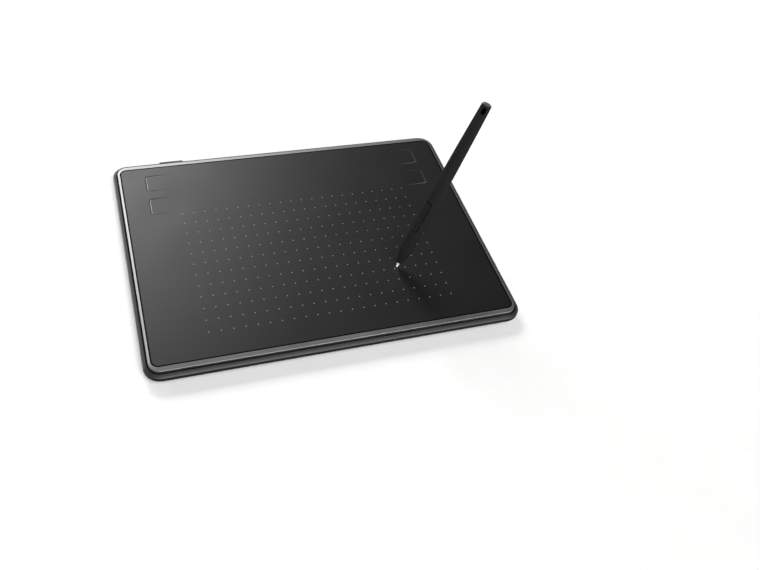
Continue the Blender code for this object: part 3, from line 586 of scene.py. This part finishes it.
# The tail's end is a paler grey: a painted highlight
tail_highlight_plastic = grained("tail_highlight_plastic", (0.055, 0.055, 0.0553), (0.068, 0.068, 0.0683), (0.34, 0.42))
nib_plastic = grained("nib_plastic", (0.88, 0.88, 0.87), (0.93, 0.93, 0.92), (0.35, 0.45), strength=0.1)
foot_rubber = grained("foot_rubber", (0.012, 0.012, 0.012), (0.026, 0.026, 0.026), (0.75, 0.9),
                      grain=2200.0, strength=0.5)
screw_steel = grained("screw_steel", (0.05, 0.05, 0.05), (0.12, 0.12, 0.12), (0.30, 0.42), metallic=1.0)
bare_steel = grained("bare_steel", (0.48, 0.48, 0.48), (0.62, 0.62, 0.62), (0.26, 0.38),
                     metallic=1.0, stretch=(1.0, 0.05, 1.0))
board_green = grained("board_green", (0.012, 0.075, 0.035), (0.022, 0.12, 0.06), (0.40, 0.55),
                      grain=1500.0)
chip_black = grained("chip_black", (0.010, 0.010, 0.010), (0.022, 0.022, 0.022), (0.45, 0.6))
ferrite_grey = grained("ferrite_grey", (0.045, 0.045, 0.05), (0.075, 0.075, 0.08), (0.55, 0.7))
coil_copper = grained("coil_copper", (0.45, 0.17, 0.06), (0.62, 0.26, 0.11), (0.28, 0.4),
                      metallic=1.0, stretch=(0.1, 0.1, 2.0))
floor_pale = grained("floor_pale", (0.84, 0.835, 0.83), (0.87, 0.865, 0.86), (0.6, 0.7),
                     grain=400.0, strength=0.05)


# Tablet

def shoulder_curve(count):
    """Section of the tray's shoulder from its wall to its lip, as shares of its width and height."""
    for t in spread(0, 1, count):
        weights = ((1 - t) ** 3, 3 * t * (1 - t) ** 2, 3 * t ** 2 * (1 - t), t ** 3)
        yield [sum(w * h[axis] for w, h in zip(weights, SHOULDER_HANDLES)) for axis in (0, 1)]


def tray_rings():
    """Rings of the tray from its underside up the wall, over the shoulder and down inside."""
    rings = []
    for across, up in reversed(quarter_round(UNDERSIDE_EDGE, steps=6)):
        half = inset(TRAY_HALF, UNDERSIDE_INSET + across)
        rings.append(case_ring(half, TRAY_BOTTOM + UNDERSIDE_EDGE - up))
    rings.append(case_ring(inset(TRAY_HALF, EDGE_BREAK), WALL_BOTTOM - EDGE_BREAK))
    rings.append(case_ring(TRAY_HALF, WALL_BOTTOM + EDGE_BREAK))
    shoulder = inset(TRAY_HALF - LIP_HALF, EDGE_BREAK)
    for across, up in shoulder_curve(count=16):
        rings.append(case_ring(TRAY_HALF - shoulder * across, WALL_TOP + (CROWN - WALL_TOP) * up))
    rings.append(case_ring(LIP_HALF, CROWN - EDGE_BREAK))
    rings.append(case_ring(LIP_HALF, LEDGE))
    rings.append(case_ring(CAVITY_HALF, LEDGE))
    rings.append(case_ring(CAVITY_HALF, FLOOR_TOP))
    return rings


def inlet_hood():
    """Hood over the inlet, rounded at its outer edge."""
    outline = rounded_ring(HOOD_HALF, HOOD_CORNER, 0, (INLET_X, HOOD_MIDDLE), steps=8)
    sections = (
        (0.0, LIP_HALF.y + GAP),
        (0.0, HOOD_FACE - HOOD_EDGE),
        (HOOD_EDGE / 3, HOOD_FACE - HOOD_EDGE / 3),
        (HOOD_EDGE, HOOD_FACE),
    )
    rings = []
    for across, y in sections:
        wide = 1 - across / HOOD_HALF[0]
        tall = 1 - across / HOOD_HALF[1]
        ring = []
        for point in outline:
            x = INLET_X + (point.x - INLET_X) * wide
            z = HOOD_MIDDLE + (point.y - HOOD_MIDDLE) * tall
            ring.append(Vector((x, y, z)))
        rings.append(ring)
    return skin(rings)


def tray_cuts():
    """Recesses for screws and feet, and the inlet's opening through hood and wall."""
    cuts = bmesh.new()
    for sx, sy in CORNERS.values():
        screw = (sx * SCREW_PLACE[0], sy * SCREW_PLACE[1])
        skin(post(SCREW_HEAD_RADIUS + GAP, 0, SCREW_HEAD[1] + GAP, screw, steps=32), cuts)
        foot = (sx * FOOT_PLACE[0], sy * FOOT_PLACE[1])
        skin(post(FOOT_RADIUS + GAP, 0, TRAY_BOTTOM + FOOT_RECESS, foot, steps=48), cuts)
    wide = INLET_HALF[0] + GAP
    tall = INLET_HALF[1] + GAP
    inlet = [(-wide, tall), (-wide, INLET_CUT - tall), (INLET_CUT - wide, -tall),
             (wide - INLET_CUT, -tall), (wide, INLET_CUT - tall), (wide, tall)]
    ends = (CAVITY_HALF.y - CUT_PAST, HOOD_FACE + CUT_PAST)
    skin([[Vector((INLET_X + x, y, INLET_MIDDLE + z)) for x, z in inlet] for y in ends], cuts)
    return cuts


def make_tray():
    """Lower tray: rounded shoulder, ledge, hood over the inlet, screw and foot recesses."""
    tray = piece("case_tray", skin(tray_rings()), tray_plastic)
    carve(tray, inlet_hood(), "UNION")
    carve(tray, tray_cuts())
    # The lower wall and underside are matt and darker: painted shade under the shoulder
    paint_faces(tray, tray_matt_shade, lambda face: face.center.z < WALL_TOP - EDGE_BREAK)
    settle(tray, "tablet", "bottom_cover")


def within_panel(point, margin):
    """Whether a point lies inside the panel's outline grown by a margin."""
    over = [max(abs(value) - half + PANEL_CORNER, 0) for value, half in zip(point.xy, PANEL_HALF)]
    return math.hypot(*over) < PANEL_CORNER + margin


def key_places():
    """Name, side and row of each key."""
    for side_name, side in SIDES.items():
        for row_name, row_y in KEY_ROWS.items():
            yield f"{side_name}_{row_name}", side, row_y


def rim_rings():
    """Rings of the upper cover from below its deck, round the skirt and rim, down to the deck."""
    recess = PANEL_HALF + Vector((PANEL_JOINT, PANEL_JOINT)) / 2
    rings = [
        case_ring(SKIRT_HALF, DECK_BOTTOM),
        case_ring(SKIRT_HALF, SKIRT_BOTTOM),
        case_ring(RIM_HALF, SKIRT_BOTTOM),
    ]
    inner = case_ring(recess, 0)
    outer = case_ring(inset(RIM_HALF, RIM_EDGE), 0)
    falls = [RIM_SLOPE * (a - b).length for a, b in zip(outer, inner)]
    for across, up in quarter_round(RIM_EDGE, steps=6):
        ring = case_ring(inset(RIM_HALF, across), PANEL_TOP - RIM_EDGE + up)
        rings.append([point - Vector((0, 0, fall)) for point, fall in zip(ring, falls)])
    rings.append(case_ring(recess + Vector((EDGE_BREAK, EDGE_BREAK)), PANEL_TOP))
    rings.append(case_ring(recess, PANEL_TOP - EDGE_BREAK))
    rings.append(case_ring(recess, DECK_TOP))
    return rings


def make_rim():
    """Upper cover: sloping rim, the recess for the panel and the skirt that stands on the tray."""
    rim = piece("case_rim", skin(rim_rings()), rim_paint)
    cuts = bmesh.new()
    outer = KEY_OUTER + KEY_SLOT
    half = ((outer - KEY_SHELF) / 2, KEY_HALF + KEY_SLOT)
    for _, side, row_y in key_places():
        middle = (side * (outer + KEY_SHELF) / 2, row_y)
        skin([rounded_ring(half, KEY_CORNER + KEY_SLOT, z, middle, steps=8)
              for z in (DECK_BOTTOM - CUT_PAST, PANEL_BOTTOM)], cuts)
    carve(rim, cuts)
    margin = PANEL_JOINT / 2 + EDGE_BREAK
    paint_faces(rim, joint_black_and_shade, lambda face: within_panel(face.center, margin))
    settle(rim, "tablet", "top_cover")


def slot_ring(slot, edge, turn):
    """Ring round a key, or round its window beyond the slot, at one turn of the rounded top edge.

    A positive edge rounds inwards and a negative one outwards. Slot and rounding run out at the hinge.
    """
    corner = KEY_CORNER + slot
    right = []
    for x in (KEY_ROOT, KEY_SLOT_START):
        run_out = math.copysign(KEY_RUN_OUT, edge)
        right.append(Vector((x, run_out * (1 - math.cos(turn)) - KEY_HALF - KEY_SLOT,
                             PANEL_TOP - KEY_RUN_OUT * (1 - math.sin(turn)))))
    radius = corner - edge * (1 - math.cos(turn))
    for around in spread(-math.pi / 2, 0, count=8):
        right.append(Vector((KEY_OUTER - KEY_CORNER + radius * math.cos(around),
                             KEY_CORNER - KEY_HALF + radius * math.sin(around),
                             PANEL_TOP - abs(edge) * (1 - math.sin(turn)))))
    return right + [Vector((p.x, -p.y, p.z)) for p in reversed(right)]


def placed(ring, side, row_y, height=None):
    """Ring moved to a key's side and row, and set at one height if given."""
    return [Vector((side * p.x, row_y + p.y, p.z if height is None else height)) for p in ring]


def make_panel():
    """Drawing film with a window for each key."""
    half = inset(PANEL_HALF, PANEL_JOINT / 2)
    panel = piece("panel_sheet", skin([case_ring(half, z) for z in (PANEL_BOTTOM, PANEL_TOP)]), film)
    cuts = bmesh.new()
    flare = [slot_ring(KEY_SLOT, -WINDOW_EDGE, math.radians(turn)) for turn in WINDOW_EDGE_TURNS]
    for _, side, row_y in key_places():
        rings = [placed(flare[0], side, row_y, PANEL_BOTTOM - CUT_PAST)]
        rings += [placed(ring, side, row_y) for ring in flare]
        rings += [placed(flare[-1], side, row_y, PANEL_TOP + CUT_PAST)]
        skin(rings, cuts)
    carve(panel, cuts)
    settle(panel, "tablet", "drawing_panel")


def on_key_edge(face):
    """Whether a face of a key belongs to its rounded top edge."""
    return face.center.z > PANEL_TOP - KEY_EDGE and face.normal.z < KEY_FLAT


def make_keys():
    """Key sheets that meet the panel at their inner edge, each with a stem over its switch."""
    rounded = [slot_ring(0, KEY_EDGE, math.radians(turn)) for turn in KEY_EDGE_TURNS]
    for name, side, row_y in key_places():
        rings = [placed(rounded[0], side, row_y, PANEL_BOTTOM)]
        rings += [placed(ring, side, row_y) for ring in rounded]
        key = piece(f"key_sheet_{name}", skin(rings), film)
        stem_top = (PANEL_BOTTOM + PANEL_TOP) / 2
        stem = post(KEY_STEM_RADIUS, STEM_BOTTOM, stem_top, (side * KEY_STEM, row_y), steps=32)
        carve(key, skin(stem), "UNION")
        paint_faces(key, key_edge_highlight, on_key_edge)
        keep_flats(key)
        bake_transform(key)
        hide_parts(f"key_{name}")


def make_foot(name, place):
    """Rubber foot with a rounded lower edge."""
    profile = [(FOOT_RADIUS - across, FOOT_EDGE - up) for across, up in reversed(quarter_round(FOOT_EDGE))]
    profile.append((FOOT_RADIUS, FOOT_TOP))
    foot = piece(f"foot_pad_{name}", turned(profile, steps=48), foot_rubber, place)
    settle(foot, "tablet", f"foot_{name}")


def make_screw(name, place):
    """Case screw with a cross recess that narrows towards its floor."""
    low, high = SCREW_HEAD
    profile = [
        (SCREW_HEAD_RADIUS - SCREW_CHAMFER[0], low),
        (SCREW_HEAD_RADIUS, low + SCREW_CHAMFER[1]),
        (SCREW_HEAD_RADIUS, high),
        (SCREW_RADIUS, high),
        (SCREW_RADIUS, SCREW_END),
    ]
    screw = piece(f"screw_{name}", turned(profile, steps=32), screw_steel, place)
    ends = ((1.0, low - CROSS_PAST), (CROSS_TAPER, low + CROSS_DEPTH))
    for wide, deep in (CROSS_HALF, CROSS_HALF[::-1]):
        bar = [(-wide, -deep), (wide, -deep), (wide, deep), (-wide, deep)]
        carve(screw, skin([[Vector((x * share, y * share, z)) for x, y in bar] for share, z in ends]))
    settle(screw, "tablet", f"case_screw_{name}")


def make_underside():
    """Foot and screw in each corner."""
    for name, (sx, sy) in CORNERS.items():
        make_foot(name, Matrix.Translation((sx * FOOT_PLACE[0], sy * FOOT_PLACE[1], 0)))
        make_screw(name, Matrix.Translation((sx * SCREW_PLACE[0], sy * SCREW_PLACE[1], 0)))


# Pen, modelled along Z and set at its place

def barrel_radius(station):
    """Outer radius of grip and barrel, which draws in towards the tail."""
    along = max(0.0, (station - PEN_TAPER_START) / (PEN_LENGTH - PEN_TAPER_START))
    return PEN_GRIP_RADIUS - PEN_DRAW_IN * along ** 2


def bore_radius(station):
    """Inner radius of the barrel, which keeps a least wall."""
    return min(PEN_BORE_RADIUS, barrel_radius(station) - PEN_WALL)


def nose_radius(station):
    """Outer radius of the nose, which swells quickly behind its tip."""
    along = min(1.0, (station - NOSE_START) / (NOSE_FULL - NOSE_START))
    return NOSE_TIP_RADIUS + (PEN_GRIP_RADIUS - NOSE_TIP_RADIUS) * (1 - (1 - along) ** 3)


def button_rings(grow, inner, outer):
    """Sections of the side button across the pen, between two offsets from the barrel's surface."""
    corner = BUTTON_CORNER + grow
    flat = BUTTON_HALF - BUTTON_CORNER
    turns = spread(0, math.pi / 2, count=10)
    ends = [(corner * (1 - math.cos(t)), flat + corner * math.sin(t)) for t in turns]
    start = BUTTON_START - grow
    finish = BUTTON_START + BUTTON_LENGTH + grow
    sections = [(start + along, width) for along, width in ends]
    sections += [(finish - along, width) for along, width in reversed(ends)]
    rings = []
    for station, width in sections:
        radius = barrel_radius(station)
        reach = math.asin(min(width / radius, 1))
        arc = [(radius + outer, turn) for turn in spread(-reach, reach, count=14)]
        arc += [(radius + inner, turn) for turn in spread(reach, -reach, count=14)]
        rings.append([Vector((r * math.cos(turn), r * math.sin(turn), station)) for r, turn in arc])
    return rings


def below_barrel(margin):
    """Test for faces that lie under the barrel's surface by more than a margin."""
    return lambda face: face.center.xy.length < barrel_radius(face.center.z) - margin


def make_nose():
    """Tapered front with the nib's bore, the chamber and the spigot that goes into the barrel."""
    stations = spread(NOSE_START + EDGE_BREAK, NOSE_END - EDGE_BREAK, count=24)
    profile = [(NOSE_TIP_RADIUS - EDGE_BREAK, NOSE_START)]
    profile += [(nose_radius(station), station) for station in stations]
    profile += [
        (PEN_GRIP_RADIUS - EDGE_BREAK, NOSE_END),
        (SPIGOT_RADIUS, NOSE_END),
        (SPIGOT_RADIUS, SPIGOT_END),
        (CHAMBER_RADIUS, SPIGOT_END),
        (CHAMBER_RADIUS, CHAMBER_START),
        (NIB_BORE, CHAMBER_START),
        (NIB_BORE, NOSE_START),
    ]
    nose = piece("pen_nose_shell", turned(profile, closed=True), pen_plastic, PEN_PLACE)
    settle(nose, "pen", "pen_nose")


def pulling_slot():
    """Slot beside the pen's end, for pulling nibs."""
    out = Vector((math.cos(SLOT_TURN), math.sin(SLOT_TURN), 0))
    across = Vector((-math.sin(SLOT_TURN), math.cos(SLOT_TURN), 0))
    outline = rounded_ring(SLOT_HALF, SLOT_CORNER, 0)
    rings = []
    for reach in SLOT_REACH:
        rings.append([out * reach + across * p.x + Vector((0, 0, SLOT_MIDDLE + p.y)) for p in outline])
    return skin(rings)


def make_barrel():
    """Rear shell with the button's window and the slot, whose walls are painted black as shade."""
    outside = spread(BARREL_START + EDGE_BREAK, BARREL_END - EDGE_BREAK, count=30)
    inside = spread(BARREL_END, BARREL_START, count=10)
    profile = [(barrel_radius(BARREL_START) - EDGE_BREAK, BARREL_START)]
    profile += [(barrel_radius(station), station) for station in outside]
    profile += [(barrel_radius(BARREL_END) - EDGE_BREAK, BARREL_END)]
    profile += [(bore_radius(station), station) for station in inside]
    barrel = piece("pen_barrel_shell", turned(profile, closed=True), pen_plastic, PEN_PLACE)
    carve(barrel, skin(button_rings(GAP, -BUTTON_WINDOW_DEPTH, CUT_PAST)))
    carve(barrel, pulling_slot())
    # The walls of the button's window and of the slot are painted black as shade
    paint_faces(barrel, joint_black_and_shade, below_barrel(EDGE_BREAK))
    settle(barrel, "pen", "pen_barrel")


def make_tail():
    """Domed end cap, its end a paler grey as a painted highlight, and a plug that goes into the barrel."""
    plug = bore_radius(BARREL_END) - GAP
    radius = barrel_radius(DOME_START)
    profile = [(plug, PLUG_START), (plug, DOME_START)]
    for step in range(DOME_STEPS):
        turn = math.pi / 2 * step / DOME_STEPS
        along = (PEN_LENGTH - DOME_START) * math.sin(turn) ** DOME_POWER
        profile.append((radius * math.cos(turn) ** DOME_POWER, DOME_START + along))
    profile.append((DOME_TIP_RADIUS, PEN_LENGTH))
    tail = piece("pen_tail_cap", turned(profile), tail_highlight_plastic, PEN_PLACE)
    # Sides keep the pen's plastic; the end keeps the painted highlight
    paint_faces(tail, pen_plastic, lambda face: face.normal.z < TAIL_HIGHLIGHT_NORMAL)
    settle(tail, "pen", "pen_tail")


def make_button():
    """Rocking side button that follows the barrel's curve, its walls painted black as shade."""
    rings = button_rings(0, BUTTON_PROUD - BUTTON_THICKNESS, BUTTON_PROUD)
    button = piece("pen_button", skin(rings), button_plastic, PEN_PLACE)
    break_edges(button, BUTTON_EDGE)
    # The button's side and end walls are painted black as shade
    paint_faces(button, joint_black_and_shade, below_barrel(-BUTTON_PROUD / 2))
    settle(button, "rocker", "pen_rocker")


def make_nib():
    """White nib with a rounded point."""
    round_point = reversed(quarter_round(NIB_POINT, steps=6))
    profile = [(NIB_POINT - across, NIB_POINT - up) for across, up in round_point]
    profile[0] = (NIB_TIP_RADIUS, 0)
    profile += [(NIB_RADIUS, NIB_CONE_END), (NIB_RADIUS, NIB_END)]
    nib = piece("pen_nib_tip", turned(profile, steps=32), nib_plastic, PEN_PLACE)
    settle(nib, "nib", "pen_nib")


def dress_inner_solids():
    """Materials of the solids that are kept, inside the inlet, the case and the pen."""
    looks = {
        "usb_shell": bare_steel,
        "usb_tongue": chip_black,
        "sensor_board": board_green,
        "shield_plate": bare_steel,
        "processor_chip": chip_black,
        "driver_chip_left": chip_black,
        "driver_chip_right": chip_black,
        "pen_nib_holder": chip_black,
        "pen_ferrite": ferrite_grey,
        "pen_coil": coil_copper,
        "pen_force_sensor": bare_steel,
        "pen_board": chip_black,
        "pen_switch_front": bare_steel,
        "pen_switch_back": bare_steel,
    }
    for name, _, _ in key_places():
        looks[f"switch_body_{name}"] = bare_steel
        looks[f"switch_plunger_{name}"] = chip_black
    for name, material in looks.items():
        frame["nodes"][name].material_slots[0].material = material


# Stage, camera and lights

def make_stage():
    """Wide pale floor."""
    shape = bmesh.new()
    bmesh.ops.create_grid(shape, x_segments=1, y_segments=1, size=FLOOR_HALF)
    floor = piece("floor", shape, floor_pale)
    floor.location.z = -FLOOR_DROP


def make_camera():
    """Camera that sees the tablet as the photograph does."""
    data = bpy.data.cameras.new("camera")
    data.sensor_width = SENSOR_WIDTH
    data.lens = FOCAL_PIXELS * SENSOR_WIDTH / IMAGE_WIDTH
    data.shift_x = CENTRE_SHIFT[0] / IMAGE_WIDTH
    data.shift_y = CENTRE_SHIFT[1] / IMAGE_WIDTH
    data.clip_start = CLIP_START
    camera = add_object("camera", data)
    turn = Matrix((CAMERA_RIGHT, -CAMERA_DOWN, -CAMERA_FORWARD)).transposed()
    camera.matrix_world = Matrix.Translation(CAMERA_PLACE) @ turn.to_4x4()
    bpy.context.scene.camera = camera


def add_area(name, place, size, power):
    """Rectangular light that faces the middle of the tablet."""
    data = bpy.data.lights.new(name, "AREA")
    data.shape = "RECTANGLE"
    data.size, data.size_y = size
    data.energy = power
    light = add_object(name, data)
    light.location = place
    light.rotation_euler = (-Vector(place)).to_track_quat("-Z", "Y").to_euler()
    light.visible_camera = False


def make_world():
    """Pale horizon under a dim ceiling, darker on the right above the horizon."""
    world = bpy.data.worlds.new("studio")
    world.use_nodes = True
    nodes, links = world.node_tree.nodes, world.node_tree.links
    split = nodes.new("ShaderNodeSeparateXYZ")
    links.new(nodes.new("ShaderNodeTexCoord").outputs["Generated"], split.inputs[0])

    def fade(axis, span, low, high):
        """Level that goes from low to high, a number or a socket, over a span of the direction's share."""
        node = nodes.new("ShaderNodeMapRange")
        node.interpolation_type = "SMOOTHSTEP"
        for key, value in zip(("From Min", "From Max", "To Min", "To Max"), (*span, low, high)):
            if isinstance(value, float):
                node.inputs[key].default_value = value
            else:
                links.new(value, node.inputs[key])
        links.new(split.outputs[axis], node.inputs["Value"])
        return node.outputs["Result"]

    both = nodes.new("ShaderNodeMath")
    both.operation = "MULTIPLY"
    links.new(fade("Z", HORIZON_FADE, HORIZON_LIGHT, CEILING_LIGHT), both.inputs[0])
    right_share = fade("Z", RIGHT_RISE, 1.0, RIGHT_SHARE)
    links.new(fade("X", RIGHT_FADE, 1.0, right_share), both.inputs[1])
    links.new(both.outputs["Value"], nodes["Background"].inputs["Strength"])
    nodes["Background"].inputs["Color"].default_value = (1.0, 1.0, 1.0, 1.0)
    bpy.context.scene.world = world


def make_lights():
    """Wide soft sun in front, a softbox behind to the left and a low fill on the left."""
    sun = bpy.data.lights.new("front_key", "SUN")
    sun.energy = SUN_STRENGTH
    sun.angle = SUN_SPREAD
    add_object("front_key", sun).rotation_euler = SUN_HEADING.to_track_quat("-Z", "Y").to_euler()
    add_area("back_left_soft", SOFTBOX_PLACE, SOFTBOX_SIZE, SOFTBOX_POWER)
    add_area("left_fill", FILL_PLACE, FILL_SIZE, FILL_POWER)
    bpy.context.scene.view_settings.view_transform = "Standard"


make_tray()
make_rim()
make_panel()
make_keys()
make_underside()
make_nose()
make_barrel()
make_tail()
make_button()
make_nib()
dress_inner_solids()
make_stage()
make_camera()
make_world()
make_lights()
